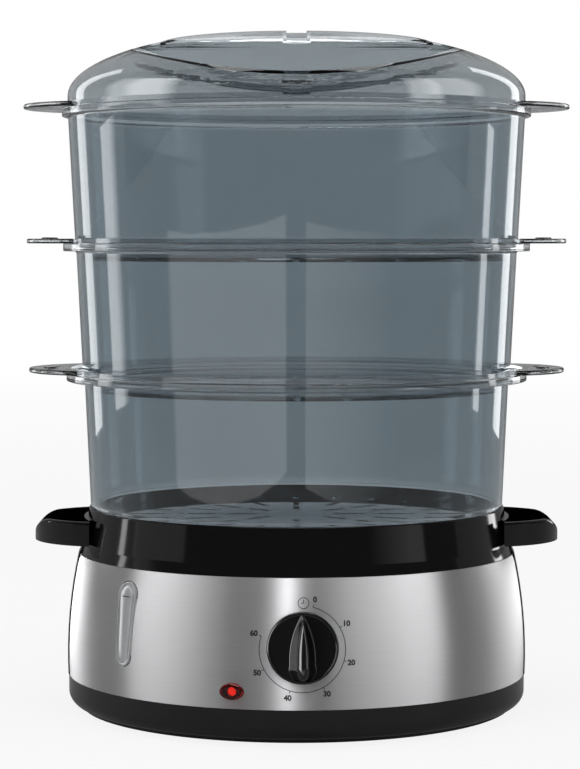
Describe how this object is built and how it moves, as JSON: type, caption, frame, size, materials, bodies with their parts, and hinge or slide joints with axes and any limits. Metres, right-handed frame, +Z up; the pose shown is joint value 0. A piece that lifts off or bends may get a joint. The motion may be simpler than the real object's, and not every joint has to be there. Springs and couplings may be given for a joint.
{
  "type": "food steamer",
  "caption": "Electric food steamer: round steel-fronted water base with timer knob and trough handles, drip tray, nested clear baskets with ear grips and a domed lid with a grip bar.",
  "frame": {"origin": "middle of the bounding box on the table plane, under the rubber feet", "axes": "+Z up along the stack; the front with the timer knob faces -Y; +X is to the right of someone facing the front. The stack's own axis is vertical at x = 0, y = 0.00508 m."},
  "size_m": [0.2976, 0.2726, 0.3694],
  "materials": {
    "black_gloss_plastic": "moulded black plastic, polished",
    "black_satin_plastic": "moulded black plastic, satin",
    "brushed_steel_sheet": "brushed stainless sheet, grain along the band",
    "heater_plate_steel": "pressed stainless steel, satin",
    "zinc_steel": "zinc-plated steel",
    "black_rubber": "soft black rubber",
    "silicone": "translucent grey silicone",
    "clear_plastic": "clear smoky plastic, polished",
    "gauge_clear_plastic": "clear plastic, polished",
    "red_lens": "translucent red plastic, polished",
    "lamp_glass": "clear glass bulb",
    "natural_plastic": "natural off-white moulded plastic",
    "smoke_plastic": "dark smoke plastic, polished",
    "element_sheath": "heat-tinted steel sheath",
    "phenolic": "brown phenolic",
    "brass": "turned brass"
  },
  "bodies": {
    "base": {"base_housing": "black_gloss_plastic", "steel_front_panel": "brushed_steel_sheet", "bottom_plate": "black_satin_plastic", "rubber_feet": "black_rubber", "base_screws": "zinc_steel", "reservoir": "black_gloss_plastic", "heater_plate": "heater_plate_steel", "heater_seal": "silicone", "heater_clamp_ring": "zinc_steel", "heater_nuts": "zinc_steel", "heating_element": "element_sheath", "thermostat": "phenolic", "thermal_fuse": "zinc_steel", "timer_body": "natural_plastic", "timer_bell": "zinc_steel", "timer_screws": "zinc_steel", "lamp_lens": "red_lens", "lamp_holder": "black_satin_plastic", "neon_lamp": "lamp_glass", "gauge_window": "gauge_clear_plastic", "gauge_seal": "silicone", "cord_gland": "black_rubber", "terminal_block": "natural_plastic", "terminal_screws": "brass"},
    "knob": {"timer_knob": "black_gloss_plastic", "timer_spindle": "zinc_steel"},
    "turbo_ring": {"turbo_ring": "black_satin_plastic"},
    "drip_tray": {"drip_tray": "smoke_plastic"},
    "basket_lower": {"basket_lower": "clear_plastic"},
    "basket_middle": {"basket_middle": "clear_plastic"},
    "basket_upper": {"basket_upper": "clear_plastic"},
    "lid": {"lid": "clear_plastic"}
  },
  "joints": [
    {"name": "timer_turn", "type": "hinge", "parent": "base", "child": "knob", "pos_m": [0.0027, -0.1192, 0.051], "axis": [-0.0216, 0.9962, -0.0845], "range_deg": [0, 288]},
    {"name": "turbo_ring_lift", "type": "slide", "parent": "base", "child": "turbo_ring", "axis": [0, 0, 1], "range_m": [0, 0.09]},
    {"name": "drip_tray_lift", "type": "slide", "parent": "turbo_ring", "child": "drip_tray", "axis": [0, 0, 1], "range_m": [0, 0.06]},
    {"name": "basket_lower_lift", "type": "slide", "parent": "drip_tray", "child": "basket_lower", "axis": [0, 0, 1], "range_m": [0, 0.06]},
    {"name": "basket_middle_lift", "type": "slide", "parent": "basket_lower", "child": "basket_middle", "axis": [0, 0, 1], "range_m": [0, 0.06]},
    {"name": "basket_upper_lift", "type": "slide", "parent": "basket_middle", "child": "basket_upper", "axis": [0, 0, 1], "range_m": [0, 0.06]},
    {"name": "lid_lift", "type": "slide", "parent": "basket_upper", "child": "lid", "axis": [0, 0, 1], "range_m": [0, 0.06]}
  ]
}
